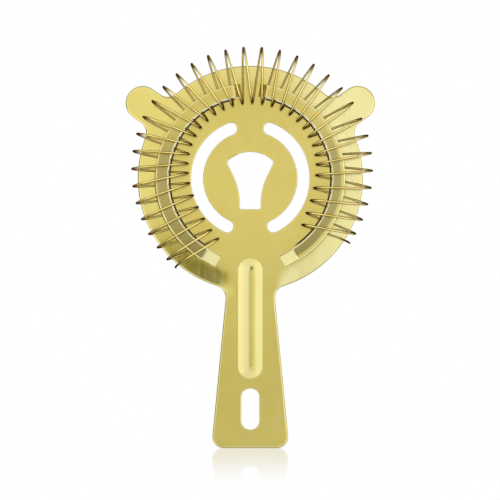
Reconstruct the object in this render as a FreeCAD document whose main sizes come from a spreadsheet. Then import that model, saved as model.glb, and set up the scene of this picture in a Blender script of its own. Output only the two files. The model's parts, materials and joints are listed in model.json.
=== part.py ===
"""Hawthorne strainer: a pressed steel plate and the wire coil threaded round its two strips.

Millimetres. X is to the right seen from the spring side, Z is up, and the
spring side of the plate faces -Y. Every sub-part is drawn about the middle of
the disc, on the plate's spring-side face, and its Placement then stands the
strainer on the end of its handle.
"""
import FreeCAD
import Part

import math
import os

import Sketcher

VIEW_NORMAL = "XZ_Plane"
TOLERANCE = 1e-4

# name, size in mm or degrees, what it is. Angles run clockwise from the top.
SIZES = [
    ("plate_thickness", 1.2, "sheet thickness"),
    ("disc_radius", 44.6, "radius of the disc"),
    ("ear_overhang", 7.4, "edge of the disc out to the centre of an ear's round end"),
    ("ear_root", 14.6, "edge of the disc in to where an ear's sides begin"),
    ("ear_radius", 6.8, "radius of an ear's round end"),
    ("ear_angle", 35.0, "angle of the right ear above the horizontal"),
    ("ear_fillet", 5.0, "inside corner between an ear and the disc"),
    ("neck_drop", 2.9, "edge of the disc down to the narrowest part of the handle"),
    ("handle_root", 6.6, "edge of the disc up to where the handle's sides begin"),
    ("neck_width", 19.5, "width of the handle there"),
    ("neck_fillet", 5.0, "inside corner between the handle and the disc"),
    ("handle_reach", 106.8, "disc centre down to the end of the handle"),
    ("handle_width", 30.9, "width at the end of the handle, before its corners"),
    ("handle_corner", 4.3, "corner radius at the end of the handle"),
    ("slot_inner", 18.7, "inner radius of the two curved slots"),
    ("slot_outer", 23.5, "outer radius of the two curved slots"),
    ("slot_top_angle", 21.2, "angle of the upper end centre of a slot"),
    ("slot_low_angle", 154.3, "angle of the lower end centre of a slot"),
    ("opening_top", 10.5, "disc centre up to the crown of the middle opening"),
    ("opening_arch", 12.7, "radius of that crown"),
    ("shoulder_half", 9.3, "half width of the opening at its shoulders"),
    ("waist_half", 6.7, "half width where the straight sides end"),
    ("waist_level", 1.1, "height of that point above the disc centre"),
    ("foot_half", 4.2, "half width of the opening at its foot"),
    ("foot_level", 12.2, "disc centre down to the foot of the opening"),
    ("shoulder_fillet", 1.3, "rounding of the shoulders"),
    ("foot_fillet", 0.9, "rounding of the foot corners"),
    ("hang_width", 7.2, "width of the hanging slot"),
    ("hang_length", 16.4, "end to end length of the hanging slot"),
    ("hang_margin", 15.4, "end of the handle up to the middle of the hanging slot"),
    ("rim_margin", 7.1, "edge of the disc in to the raised strips"),
    ("strip_width", 5.1, "width of the raised strips"),
    ("strip_top_angle", 10.2, "angle where a strip's level part begins"),
    ("strip_low_angle", 149.0, "angle where a strip's level part ends"),
    ("strip_gap", 3.0, "space between the plate and the back of a strip"),
    ("ramp_top_length", 2.6, "run of the upper ramp along the strip"),
    ("ramp_low_length", 6.0, "run of the lower ramp along the strip"),
    ("lance_clearance", 0.06, "gap between a strip's cut edge and its window"),
    ("strip_bend", 1.5, "outside radius where a strip bends down"),
    ("strip_edge", 0.35, "rounding of the long edges of a strip"),
    ("groove_width", 9.5, "width of the pressed groove in the handle"),
    ("groove_depth", 1.1, "depth of the pressed groove"),
    ("groove_top", 31.8, "disc centre down to the top of the groove"),
    ("groove_margin", 27.6, "end of the handle up to the bottom of the groove"),
    ("groove_edge", 0.6, "rounding where the groove meets the plate"),
    ("rim_edge", 0.65, "rounding of the outline on the spring side"),
    ("back_edge", 0.4, "rounding of the outline behind"),
    ("hole_edge", 0.35, "rounding of the openings' edges on the spring side"),
    ("wire_diameter", 0.8, "diameter of the spring wire"),
    ("coil_outside", 9.8, "strip out to the outer turns of the spring"),
    ("coil_inside", 6.9, "strip in to its inner turns"),
    ("coil_depth", 9.0, "depth of a turn, wire centre to wire centre"),
    ("coil_clearance", 0.8, "plate to the centre of the nearest wire"),
    ("ring_right", 0.7, "how far right of the disc centre the ring sits"),
    ("ring_up", 4.3, "how far above the disc centre the ring sits"),
    ("coil_pitch", 8.76, "angle from one outer tip to the next at the middle of the spring"),
    ("coil_middle", 8.5, "angle left of the top of the middle of the spring"),
    ("coil_lean", 1.2, "angle by which both end turns stand right of an even pitch"),
    ("coil_closing", 5.7, "angle by which both end turns stand in from an even pitch"),
    ("end_tip_lead", 4.8, "angle from a closed end tip to the next one"),
    ("tip_spread", 0.5, "half the angle over which a tip turns the wire back"),
    ("spread_start", 80.0, "angle either side of the top where the outer tips begin to spread"),
    ("fan_left", 105.0, "angle left of the top where the inner tips begin to fan out"),
    ("fan_right", 88.6, "angle right of the top where they begin to fan out"),
    ("fan_rate", 0.4, "angle that an inner tip leans for each degree beyond that"),
    ("end_outer_gain", 2.2, "extra outer radius at the ends of the spring"),
    ("end_inner_gain", 5.8, "extra inner radius at the ends of the spring"),
]

# Sizes worked out from cells of the sheet, as sums of signed cells.
WORKED = {
    "ear_reach": [(1, "disc_radius"), (1, "ear_overhang")],
    "ear_start": [(1, "disc_radius"), (-1, "ear_root")],
    "neck_reach": [(1, "disc_radius"), (1, "neck_drop")],
    "root_level": [(1, "disc_radius"), (-1, "handle_root")],
    "hang_level": [(1, "handle_reach"), (-1, "hang_margin")],
    "groove_low": [(1, "handle_reach"), (-1, "groove_margin")],
    "strip_outer": [(1, "disc_radius"), (-1, "rim_margin")],
    "strip_inner": [(1, "disc_radius"), (-1, "rim_margin"), (-1, "strip_width")],
    "coil_outer": [(1, "disc_radius"), (-1, "rim_margin"), (1, "coil_outside")],
    "coil_inner": [
        (1, "disc_radius"), (-1, "rim_margin"), (-1, "strip_width"), (-1, "coil_inside"),
    ],
}

FULL_TURNS = 32
SPREAD_SPAN = 58.0
FAN_SPAN = 15.0
FAN_POWER = 2.5
PATH_REACH = 0.45

doc = FreeCAD.newDocument("HawthorneStrainer")
sheet = doc.addObject("Spreadsheet::Sheet", "Sizes")
for row, (alias, amount, note) in enumerate(SIZES, start=1):
    sheet.set("A%d" % row, note)
    sheet.set("B%d" % row, str(amount))
    sheet.setAlias("B%d" % row, alias)
doc.recompute()


def size(name):
    """The value of one cell of the sheet, or of a size worked out from cells."""
    if name in WORKED:
        return sum(sign * size(cell) for sign, cell in WORKED[name])
    return float(getattr(sheet, name))


def in_cells(expression):
    """An expression with its worked-out sizes written as sums of the sheet's cells."""
    for name, terms in WORKED.items():
        text = " ".join("%s Sizes.%s" % ("-" if sign < 0 else "+", cell) for sign, cell in terms)
        expression = expression.replace("Sizes." + name, "(%s)" % text[2:])
    return expression


def origin_feature(body, role):
    """One plane or axis of a body's own origin."""
    for feature in body.Origin.OriginFeatures:
        if feature.Role == role:
            return feature
    raise ValueError(role)


def new_sketch(body, name, role=VIEW_NORMAL):
    """An empty sketch on one of the body's origin planes."""
    sketch = body.newObject("Sketcher::SketchObject", name)
    sketch.AttachmentSupport = [(origin_feature(body, role), "")]
    sketch.MapMode = "FlatFace"
    return sketch


def turn_sketch(sketch, axis, angle_expression):
    """Turn a sketch about an axis of its plane by an angle from the sheet."""
    sketch.AttachmentOffset = FreeCAD.Placement(
        FreeCAD.Vector(0, 0, 0), FreeCAD.Rotation(axis, 10)
    )
    sketch.setExpression("AttachmentOffset.Rotation.Angle", in_cells(angle_expression))


def constrain(sketch, kind, *args):
    """Add a plain constraint."""
    return sketch.addConstraint(Sketcher.Constraint(kind, *args))


def dimension(sketch, label, expression, kind, *args):
    """Add a dimension and bind it to the sheet."""
    index = sketch.addConstraint(Sketcher.Constraint(kind, *args))
    sketch.renameConstraint(index, label)
    sketch.setExpression("Constraints." + label, in_cells(expression))


def line(sketch, start, end):
    """A straight edge between two (x, y) points."""
    first = FreeCAD.Vector(start[0], start[1], 0)
    last = FreeCAD.Vector(end[0], end[1], 0)
    return sketch.addGeometry(Part.LineSegment(first, last), False)


def arc(sketch, centre, radius, begin, finish):
    """An arc, counter-clockwise, with its angles in degrees."""
    circle = Part.Circle(
        FreeCAD.Vector(centre[0], centre[1], 0), FreeCAD.Vector(0, 0, 1), radius
    )
    return sketch.addGeometry(
        Part.ArcOfCircle(circle, math.radians(begin), math.radians(finish)), False
    )


def extrude(body, kind, name, sketch, length=None, reverse=False):
    """Pad or pocket a sketch; no length means a pocket right through."""
    feature = body.newObject("PartDesign::" + kind, name)
    feature.Profile = sketch
    if length is None:
        feature.Type = "ThroughAll"
    else:
        feature.setExpression("Length", in_cells(length))
    feature.Reversed = reverse
    sketch.Visibility = False
    return feature


def mirror(body, name, features):
    """Mirror features to the left half of the strainer."""
    copy = body.newObject("PartDesign::Mirrored", name)
    copy.Originals = features
    copy.MirrorPlane = (origin_feature(body, "YZ_Plane"), [""])
    body.Tip = copy
    doc.recompute()
    return copy


def round_edges(body, name, wanted, radius):
    """Fillet the edges of the body that a test picks."""
    doc.recompute()
    base = body.Tip
    names = []
    for index, edge in enumerate(base.Shape.Edges, start=1):
        if wanted(edge):
            names.append("Edge%d" % index)
    fillet = body.newObject("PartDesign::Fillet", name)
    fillet.Base = (base, names)
    fillet.setExpression("Radius", in_cells(radius))
    doc.recompute()
    print("%s: %d edges" % (name, len(names)))
    return fillet


def middle(edge):
    """The point halfway along an edge."""
    return edge.valueAt(0.5 * (edge.FirstParameter + edge.LastParameter))


def is_curve(edge, kind):
    """True for an edge on one kind of curve; an edge shrunk to a point has none."""
    try:
        return isinstance(edge.Curve, kind)
    except TypeError:
        return False


def runs_through(edge):
    """True for a straight edge that crosses the sheet, front to back."""
    if not is_curve(edge, Part.Line):
        return False
    span = edge.Vertexes[-1].Point - edge.Vertexes[0].Point
    return abs(span.x) < TOLERANCE and abs(span.z) < TOLERANCE


def lies_at(edge, level):
    """True for an edge that lies in one plane parallel to the plate."""
    if edge.Length < TOLERANCE:
        return False
    points = [vertex.Point for vertex in edge.Vertexes] + [middle(edge)]
    return all(abs(point.y - level) < TOLERANCE for point in points)


def distance_from_axis(point):
    """Distance from the disc's axis."""
    return math.hypot(point.x, point.z)


# ---------------------------------------------------------------- the plate
plate = doc.addObject("PartDesign::Body", "StrainerPlate")
plate.Label = "strainer_plate"

disc = new_sketch(plate, "DiscSketch")
disc.addGeometry(
    Part.Circle(FreeCAD.Vector(0, 0, 0), FreeCAD.Vector(0, 0, 1), size("disc_radius")), False
)
constrain(disc, "Coincident", 0, 3, -1, 1)
dimension(disc, "disc_radius", "Sizes.disc_radius", "Radius", 0, size("disc_radius"))
extrude(plate, "Pad", "DiscPad", disc, "Sizes.plate_thickness", True)

# The handle tapers evenly from its end up into the disc.
taper = (size("handle_width") - size("neck_width")) / (size("handle_reach") - size("neck_reach"))
root_level = size("root_level")
root_width = size("neck_width") - taper * (size("neck_reach") - root_level)
root_rule = (
    "Sizes.neck_width - (Sizes.handle_width - Sizes.neck_width)"
    " * (Sizes.neck_reach - Sizes.root_level) / (Sizes.handle_reach - Sizes.neck_reach)"
)
handle = new_sketch(plate, "HandleSketch")
half_root = 0.5 * root_width
half_end = 0.5 * size("handle_width")
reach = size("handle_reach")
corners = [(-half_root, -root_level), (-half_end, -reach), (half_end, -reach), (half_root, -root_level)]
for index in range(4):
    line(handle, corners[index], corners[(index + 1) % 4])
for index in range(4):
    constrain(handle, "Coincident", index, 2, (index + 1) % 4, 1)
constrain(handle, "Symmetric", 1, 1, 1, 2, -2)
constrain(handle, "Symmetric", 3, 1, 3, 2, -2)
dimension(handle, "end_width", "Sizes.handle_width", "DistanceX", 1, 1, 1, 2, 2 * half_end)
dimension(handle, "root_width", root_rule, "DistanceX", 3, 2, 3, 1, root_width)
dimension(handle, "reach", "Sizes.handle_reach", "DistanceY", 1, 1, -1, 1, reach)
dimension(handle, "root", "Sizes.root_level", "DistanceY", 3, 1, -1, 1, root_level)
extrude(plate, "Pad", "HandlePad", handle, "Sizes.plate_thickness", True)

ear = new_sketch(plate, "EarSketch")
turn_sketch(ear, FreeCAD.Vector(0, 0, 1), "Sizes.ear_angle")
ear_r = size("ear_radius")
ear_x = size("ear_reach")
ear_start = size("ear_start")
arc(ear, (ear_x, 0), ear_r, -90, 90)
line(ear, (ear_x, ear_r), (ear_start, ear_r))
line(ear, (ear_start, ear_r), (ear_start, -ear_r))
line(ear, (ear_start, -ear_r), (ear_x, -ear_r))
constrain(ear, "Tangent", 0, 2, 1, 1)
constrain(ear, "Coincident", 1, 2, 2, 1)
constrain(ear, "Coincident", 2, 2, 3, 1)
constrain(ear, "Tangent", 3, 2, 0, 1)
constrain(ear, "Vertical", 2)
constrain(ear, "PointOnObject", 0, 3, -1)
constrain(ear, "Horizontal", 1)
dimension(ear, "ear_radius", "Sizes.ear_radius", "Radius", 0, ear_r)
dimension(ear, "ear_reach", "Sizes.ear_reach", "DistanceX", -1, 1, 0, 3, ear_x)
dimension(ear, "ear_start", "Sizes.ear_start", "DistanceX", -1, 1, 2, 1, ear_start)
ear_pad = extrude(plate, "Pad", "EarPad", ear, "Sizes.plate_thickness", True)
mirror(plate, "EarMirror", [ear_pad])


def at_ear_corner(edge):
    """An upright edge where an ear leaves the disc."""
    if not runs_through(edge):
        return False
    point = middle(edge)
    return abs(distance_from_axis(point) - size("disc_radius")) < 0.01 and point.z > 0


def at_neck(edge):
    """An upright edge where the handle leaves the disc."""
    if not runs_through(edge):
        return False
    point = middle(edge)
    return abs(distance_from_axis(point) - size("disc_radius")) < 0.01 and point.z < 0


def at_handle_corner(edge):
    """An upright edge at the end of the handle."""
    return runs_through(edge) and abs(middle(edge).z + size("handle_reach")) < 0.01


round_edges(plate, "EarFillet", at_ear_corner, "Sizes.ear_fillet")
round_edges(plate, "NeckFillet", at_neck, "Sizes.neck_fillet")
round_edges(plate, "HandleCorners", at_handle_corner, "Sizes.handle_corner")

# Two curved slots, one each side, with round ends.
slot = new_sketch(plate, "SlotSketch")
slot_in = size("slot_inner")
slot_out = size("slot_outer")
slot_mid = 0.5 * (slot_in + slot_out)
slot_end = 0.5 * (slot_out - slot_in)
high = 90.0 - size("slot_top_angle")
low = 90.0 - size("slot_low_angle")


def polar(radius, angle):
    """A point at an angle in degrees from the sketch's X axis."""
    return (radius * math.cos(math.radians(angle)), radius * math.sin(math.radians(angle)))


arc(slot, (0, 0), slot_out, low, high)
arc(slot, polar(slot_mid, high), slot_end, high, high + 180)
arc(slot, (0, 0), slot_in, low, high)
arc(slot, polar(slot_mid, low), slot_end, low + 180, low + 360)
constrain(slot, "Coincident", 0, 3, -1, 1)
constrain(slot, "Coincident", 2, 3, -1, 1)
constrain(slot, "Tangent", 0, 2, 1, 1)
constrain(slot, "Tangent", 1, 2, 2, 2)
constrain(slot, "Tangent", 2, 1, 3, 1)
constrain(slot, "Tangent", 3, 2, 0, 1)
for end_angle in (high, low):
    ray = line(slot, (0, 0), polar(slot_mid, end_angle))
    slot.setConstruction(ray, True)
constrain(slot, "Coincident", 4, 1, -1, 1)
constrain(slot, "Coincident", 4, 2, 1, 3)
constrain(slot, "Coincident", 5, 1, -1, 1)
constrain(slot, "Coincident", 5, 2, 3, 3)
dimension(slot, "outer", "Sizes.slot_outer", "Radius", 0, slot_out)
dimension(slot, "inner", "Sizes.slot_inner", "Radius", 2, slot_in)
dimension(
    slot, "top_angle", "(90 - Sizes.slot_top_angle) * 1 deg", "Angle", -1, 1, 4, 1,
    math.radians(high),
)
dimension(
    slot, "low_angle", "(90 - Sizes.slot_low_angle) * 1 deg", "Angle", -1, 1, 5, 1,
    math.radians(low),
)
slot_cut = extrude(plate, "Pocket", "SlotPocket", slot)
mirror(plate, "SlotMirror", [slot_cut])

# The middle opening: an arched top, straight sides that draw in, a narrow foot.
opening = new_sketch(plate, "OpeningSketch")
arch_r = size("opening_arch")
arch_y = size("opening_top") - arch_r
shoulder = size("shoulder_half")
shoulder_y = arch_y + math.sqrt(arch_r ** 2 - shoulder ** 2)
waist = (size("waist_half"), size("waist_level"))
foot = (size("foot_half"), -size("foot_level"))
arch_turn = math.degrees(math.acos(shoulder / arch_r))
arc(opening, (0, arch_y), arch_r, arch_turn, 180 - arch_turn)


def side_arc(begin, tangent, finish):
    """Centre of the arc that leaves begin along tangent and meets finish."""
    normal = (-tangent[1], tangent[0])
    chord = (finish[0] - begin[0], finish[1] - begin[1])
    along = chord[0] * normal[0] + chord[1] * normal[1]
    reach_out = (chord[0] ** 2 + chord[1] ** 2) / (2 * along)
    centre = (begin[0] + reach_out * normal[0], begin[1] + reach_out * normal[1])
    return centre, abs(reach_out)


def unit(vector):
    """A plane vector scaled to length one."""
    length = math.hypot(vector[0], vector[1])
    return (vector[0] / length, vector[1] / length)


slope = unit((waist[0] - shoulder, waist[1] - shoulder_y))
flank_centre, flank_r = side_arc(waist, slope, foot)
flank_begin = math.degrees(math.atan2(waist[1] - flank_centre[1], waist[0] - flank_centre[0]))
flank_end = math.degrees(math.atan2(foot[1] - flank_centre[1], foot[0] - flank_centre[0]))
line(opening, (shoulder, shoulder_y), waist)
arc(opening, flank_centre, flank_r, flank_begin % 360, flank_end % 360)
line(opening, foot, (-foot[0], foot[1]))
mirrored_centre = (-flank_centre[0], flank_centre[1])
arc(opening, mirrored_centre, flank_r, (180 - flank_end) % 360 - 360, (180 - flank_begin) % 360)
line(opening, (-waist[0], waist[1]), (-shoulder, shoulder_y))
constrain(opening, "Coincident", 0, 1, 1, 1)
constrain(opening, "Tangent", 1, 2, 2, 1)
constrain(opening, "Coincident", 2, 2, 3, 1)
constrain(opening, "Coincident", 3, 2, 4, 1)
constrain(opening, "Tangent", 4, 2, 5, 1)
constrain(opening, "Coincident", 5, 2, 0, 2)
constrain(opening, "PointOnObject", 0, 3, -2)
constrain(opening, "Symmetric", 0, 1, 0, 2, -2)
constrain(opening, "Symmetric", 1, 2, 5, 1, -2)
constrain(opening, "Symmetric", 3, 1, 3, 2, -2)
dimension(opening, "arch", "Sizes.opening_arch", "Radius", 0, arch_r)
dimension(
    opening, "arch_centre", "Sizes.opening_arch - Sizes.opening_top", "DistanceY", 0, 3, -1, 1,
    -arch_y,
)
dimension(opening, "shoulder", "2 * Sizes.shoulder_half", "DistanceX", 0, 2, 0, 1, 2 * shoulder)
dimension(opening, "waist", "2 * Sizes.waist_half", "DistanceX", 5, 1, 1, 2, 2 * waist[0])
dimension(opening, "waist_level", "Sizes.waist_level", "DistanceY", -1, 1, 1, 2, waist[1])
dimension(opening, "foot", "2 * Sizes.foot_half", "DistanceX", 3, 2, 3, 1, 2 * foot[0])
dimension(opening, "foot_level", "Sizes.foot_level", "DistanceY", 3, 1, -1, 1, -foot[1])
extrude(plate, "Pocket", "OpeningPocket", opening)


def at_shoulder(edge):
    """An upright edge at a shoulder of the middle opening."""
    point = middle(edge)
    return runs_through(edge) and abs(abs(point.x) - size("shoulder_half")) < 0.01 and point.z > 0


def at_foot(edge):
    """An upright edge at the foot of the middle opening."""
    point = middle(edge)
    return runs_through(edge) and abs(point.z + size("foot_level")) < 0.01


round_edges(plate, "ShoulderFillet", at_shoulder, "Sizes.shoulder_fillet")
round_edges(plate, "FootFillet", at_foot, "Sizes.foot_fillet")

# The hanging slot near the end of the handle.
hang = new_sketch(plate, "HangSketch")
hang_r = 0.5 * size("hang_width")
hang_half = 0.5 * size("hang_length") - hang_r
hang_y = -size("hang_level")
arc(hang, (0, hang_y + hang_half), hang_r, 0, 180)
line(hang, (-hang_r, hang_y + hang_half), (-hang_r, hang_y - hang_half))
arc(hang, (0, hang_y - hang_half), hang_r, 180, 360)
line(hang, (hang_r, hang_y - hang_half), (hang_r, hang_y + hang_half))
constrain(hang, "Tangent", 0, 2, 1, 1)
constrain(hang, "Tangent", 1, 2, 2, 1)
constrain(hang, "Tangent", 2, 2, 3, 1)
constrain(hang, "Tangent", 3, 2, 0, 1)
constrain(hang, "Vertical", 1)
constrain(hang, "PointOnObject", 0, 3, -2)
dimension(hang, "radius", "Sizes.hang_width / 2", "Radius", 0, hang_r)
dimension(
    hang, "upper", "Sizes.hang_level - (Sizes.hang_length - Sizes.hang_width) / 2",
    "DistanceY", 0, 3, -1, 1, -hang_y - hang_half,
)
dimension(
    hang, "lower", "Sizes.hang_level + (Sizes.hang_length - Sizes.hang_width) / 2",
    "DistanceY", 2, 3, -1, 1, -hang_y + hang_half,
)
extrude(plate, "Pocket", "HangPocket", hang)

# The pressed groove: a rounded channel in front and its bulge behind.
WIDTH = "Sizes.groove_width"
DEPTH = "Sizes.groove_depth"
SHEET = "Sizes.plate_thickness"
FRONT_RADIUS = "((%s ^ 2) / 4 + %s ^ 2) / (2 * %s)" % (WIDTH, DEPTH, DEPTH)
groove_r = (size("groove_width") ** 2 / 4 + size("groove_depth") ** 2) / (2 * size("groove_depth"))
groove_top = size("groove_top") + 0.5 * size("groove_width")
groove_low = size("groove_low") - 0.5 * size("groove_width")


def groove_profile(sketch, outer, whole):
    """Section of the groove (or of its bulge), whole or its right half.

    Sketch x runs across the handle and sketch y runs from front to back.
    """
    depth = size("groove_depth")
    sheet_t = size("plate_thickness")
    radius = groove_r + (sheet_t if outer else 0.0)
    centre_y = depth - groove_r
    mouth = sheet_t if outer else 0.0
    base = 0.5 * sheet_t if outer else -0.5 * sheet_t
    half = math.sqrt(radius ** 2 - (mouth - centre_y) ** 2)
    turn = math.degrees(math.atan2(mouth - centre_y, half))
    radius_rule = FRONT_RADIUS + (" + " + SHEET if outer else "")
    last = 180 - turn if whole else 90
    arc(sketch, (0, centre_y), radius, turn, last)
    left = -half if whole else 0.0
    crest = mouth if whole else centre_y + radius
    line(sketch, (left, crest), (left, base))
    line(sketch, (left, base), (half, base))
    line(sketch, (half, base), (half, mouth))
    constrain(sketch, "Coincident", 0, 2, 1, 1)
    constrain(sketch, "Coincident", 1, 2, 2, 1)
    constrain(sketch, "Coincident", 2, 2, 3, 1)
    constrain(sketch, "Coincident", 3, 2, 0, 1)
    constrain(sketch, "Vertical", 1)
    constrain(sketch, "Horizontal", 2)
    constrain(sketch, "Vertical", 3)
    constrain(sketch, "PointOnObject", 0, 3, -2)
    dimension(sketch, "radius", radius_rule, "Radius", 0, radius)
    dimension(
        sketch, "centre", "%s - %s" % (FRONT_RADIUS, DEPTH), "DistanceY", 0, 3, -1, 1, -centre_y
    )
    if outer:
        dimension(sketch, "mouth", SHEET, "DistanceY", -1, 1, 0, 1, mouth)
        dimension(sketch, "base", SHEET + " / 2", "DistanceY", -1, 1, 2, 1, base)
    else:
        constrain(sketch, "PointOnObject", 0, 1, -1)
        dimension(sketch, "base", SHEET + " / 2", "DistanceY", 2, 1, -1, 1, -base)
    if whole:
        constrain(sketch, "Symmetric", 0, 1, 0, 2, -2)
    else:
        constrain(sketch, "PointOnObject", 0, 2, -2)


def groove_part(outer, tag):
    """The straight stretch of the groove or its bulge, then its two round ends."""
    sketch = new_sketch(plate, tag + "Section", "XY_Plane")
    sketch.AttachmentOffset = FreeCAD.Placement(
        FreeCAD.Vector(0, 0, -groove_low), FreeCAD.Rotation()
    )
    sketch.setExpression("AttachmentOffset.Base.z", in_cells("%s / 2 - Sizes.groove_low" % WIDTH))
    groove_profile(sketch, outer, True)
    run = "Sizes.groove_low - Sizes.groove_top - %s" % WIDTH
    if outer:
        extrude(plate, "Pad", tag + "Pad", sketch, run)
    else:
        extrude(plate, "Pocket", tag + "Pocket", sketch, run, True)
    ends = (("Top", "-Sizes.groove_top - %s / 2" % WIDTH), ("Low", "%s / 2 - Sizes.groove_low" % WIDTH))
    for end, rule in ends:
        half = new_sketch(plate, tag + end + "Section", "XY_Plane")
        half.AttachmentOffset = FreeCAD.Placement(FreeCAD.Vector(0, 0, -1), FreeCAD.Rotation())
        half.setExpression("AttachmentOffset.Base.z", in_cells(rule))
        groove_profile(half, outer, False)
        kind = "Revolution" if outer else "Groove"
        round_end = plate.newObject("PartDesign::" + kind, tag + end + kind)
        round_end.Profile = half
        round_end.ReferenceAxis = (half, ["V_Axis"])
        round_end.Angle = 360
        half.Visibility = False


groove_part(True, "Bulge")
groove_part(False, "Channel")

# ------------------------------------------------- the raised strips, right side
C = "Sizes.lance_clearance"


def sector_sketch(name, grow):
    """A ring sector under the level part of the right strip."""
    sketch = new_sketch(plate, name)
    extra = size("lance_clearance") if grow else 0.0
    sign = " + " + C if grow else ""
    less = " - " + C if grow else ""
    begin = 90.0 - size("strip_low_angle")
    finish = 90.0 - size("strip_top_angle")
    outer_r = size("strip_outer") + extra
    inner_r = size("strip_inner") - extra
    arc(sketch, (0, 0), outer_r, begin, finish)
    line(sketch, polar(outer_r, finish), polar(inner_r, finish))
    arc(sketch, (0, 0), inner_r, begin, finish)
    line(sketch, polar(inner_r, begin), polar(outer_r, begin))
    constrain(sketch, "Coincident", 0, 3, -1, 1)
    constrain(sketch, "Coincident", 2, 3, -1, 1)
    constrain(sketch, "Coincident", 0, 2, 1, 1)
    constrain(sketch, "Coincident", 1, 2, 2, 2)
    constrain(sketch, "Coincident", 2, 1, 3, 1)
    constrain(sketch, "Coincident", 3, 2, 0, 1)
    dimension(sketch, "outer", "Sizes.strip_outer" + sign, "Radius", 0, outer_r)
    dimension(sketch, "inner", "Sizes.strip_inner" + less, "Radius", 2, inner_r)
    ends = (("top", 2, finish, "strip_top_angle"), ("low", 1, begin, "strip_low_angle"))
    for label, end, angle, cell in ends:
        ray = line(sketch, (0, 0), polar(outer_r, angle))
        sketch.setConstruction(ray, True)
        constrain(sketch, "Coincident", ray, 1, -1, 1)
        constrain(sketch, "Coincident", ray, 2, 0, end)
        constrain(sketch, "PointOnObject", 2, end, ray)
        rule = "(90 - Sizes.%s) * 1 deg" % cell
        dimension(sketch, label, rule, "Angle", -1, 1, ray, 1, math.radians(angle))
    return sketch


def ramp_plane(name, angle_rule, grow):
    """A sketch square to the radius at one end of the strip, at its inner edge."""
    sketch = new_sketch(plate, name, "XY_Plane")
    turn_sketch(sketch, FreeCAD.Vector(0, 1, 0), angle_rule)
    radius = "(Sizes.strip_inner - %s)" % C if grow else "Sizes.strip_inner"
    across = "%s * sin(%s * 1 deg)" % (radius, angle_rule)
    upward = "%s * cos(%s * 1 deg)" % (radius, angle_rule)
    sketch.setExpression("AttachmentOffset.Base.x", in_cells(across))
    sketch.setExpression("AttachmentOffset.Base.z", in_cells(upward))
    return sketch


def window_end(tag, angle_rule, run_rule, run, way):
    """Cut the part of the window that lies under a ramp."""
    sketch = ramp_plane(tag + "WindowSketch", angle_rule, True)
    over = size("plate_thickness")
    far = way * run
    points = [(0, -over), (far, -over), (far, 2 * over), (0, 2 * over)]
    for place in range(4):
        line(sketch, points[place], points[(place + 1) % 4])
    for place in range(4):
        constrain(sketch, "Coincident", place, 2, (place + 1) % 4, 1)
    constrain(sketch, "Horizontal", 0)
    constrain(sketch, "Vertical", 1)
    constrain(sketch, "Horizontal", 2)
    constrain(sketch, "PointOnObject", 0, 1, -2)
    constrain(sketch, "PointOnObject", 2, 2, -2)
    first, last = ((-1, 1), (0, 2)) if way > 0 else ((0, 2), (-1, 1))
    dimension(sketch, "run", run_rule, "DistanceX", *first, *last, run)
    dimension(sketch, "front", SHEET, "DistanceY", 0, 1, -1, 1, over)
    dimension(sketch, "back", "2 * " + SHEET, "DistanceY", -1, 1, 2, 1, 2 * over)
    width = "Sizes.strip_outer - Sizes.strip_inner + 2 * " + C
    return extrude(plate, "Pocket", tag + "WindowPocket", sketch, width, True)


BITE = 0.4


def ramp(tag, angle_rule, run_rule, run, way):
    """The bent stretch that carries the strip down to the plate."""
    sketch = ramp_plane(tag + "RampSketch", angle_rule, False)
    t = size("plate_thickness")
    gap = size("strip_gap")
    foot_x = way * run
    end_x = way * (run + BITE)
    points = [(0, -gap), (0, -gap - t), (foot_x, 0), (end_x, 0), (end_x, t), (foot_x, t)]
    count = len(points)
    for place in range(count):
        line(sketch, points[place], points[(place + 1) % count])
    for place in range(count):
        constrain(sketch, "Coincident", place, 2, (place + 1) % count, 1)
    constrain(sketch, "PointOnObject", 0, 1, -2)
    constrain(sketch, "PointOnObject", 0, 2, -2)
    constrain(sketch, "PointOnObject", 2, 1, -1)
    constrain(sketch, "PointOnObject", 3, 1, -1)
    constrain(sketch, "Vertical", 3)
    constrain(sketch, "Horizontal", 4)
    constrain(sketch, "Vertical", 2, 1, 5, 1)
    first, last = ((-1, 1), (2, 1)) if way > 0 else ((2, 1), (-1, 1))
    dimension(sketch, "run", run_rule, "DistanceX", *first, *last, run)
    first, last = ((2, 1), (3, 1)) if way > 0 else ((3, 1), (2, 1))
    dimension(sketch, "bite", "%s" % BITE, "DistanceX", *first, *last, BITE)
    dimension(sketch, "gap", "Sizes.strip_gap", "DistanceY", 0, 1, -1, 1, gap)
    dimension(sketch, "front", "Sizes.strip_gap + " + SHEET, "DistanceY", 0, 2, -1, 1, gap + t)
    dimension(sketch, "thick", SHEET, "DistanceY", 3, 1, 3, 2, t)
    width = "Sizes.strip_outer - Sizes.strip_inner"
    return extrude(plate, "Pad", tag + "RampPad", sketch, width)


TOP = ("Sizes.strip_top_angle", "Sizes.ramp_top_length", size("ramp_top_length"), -1)
LOW = ("Sizes.strip_low_angle", "Sizes.ramp_low_length", size("ramp_low_length"), 1)
window = extrude(plate, "Pocket", "WindowPocket", sector_sketch("WindowSketch", True))
window_top = window_end("Top", *TOP)
window_low = window_end("Low", *LOW)
ramp_top = ramp("Top", *TOP)
ramp_low = ramp("Low", *LOW)
strip_sketch = sector_sketch("StripSketch", False)
strip_sketch.setExpression("AttachmentOffset.Base.z", "Sizes.strip_gap")
strip = extrude(plate, "Pad", "StripPad", strip_sketch, SHEET)
doc.recompute()


mirror(plate, "StripMirror", [window, window_top, window_low, ramp_top, ramp_low, strip])
doc.recompute()
print("plate volume", plate.Shape.Volume, "solids", len(plate.Shape.Solids))


def strip_front():
    """Depth of the front of the raised strips."""
    return -size("strip_gap") - size("plate_thickness")


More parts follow.
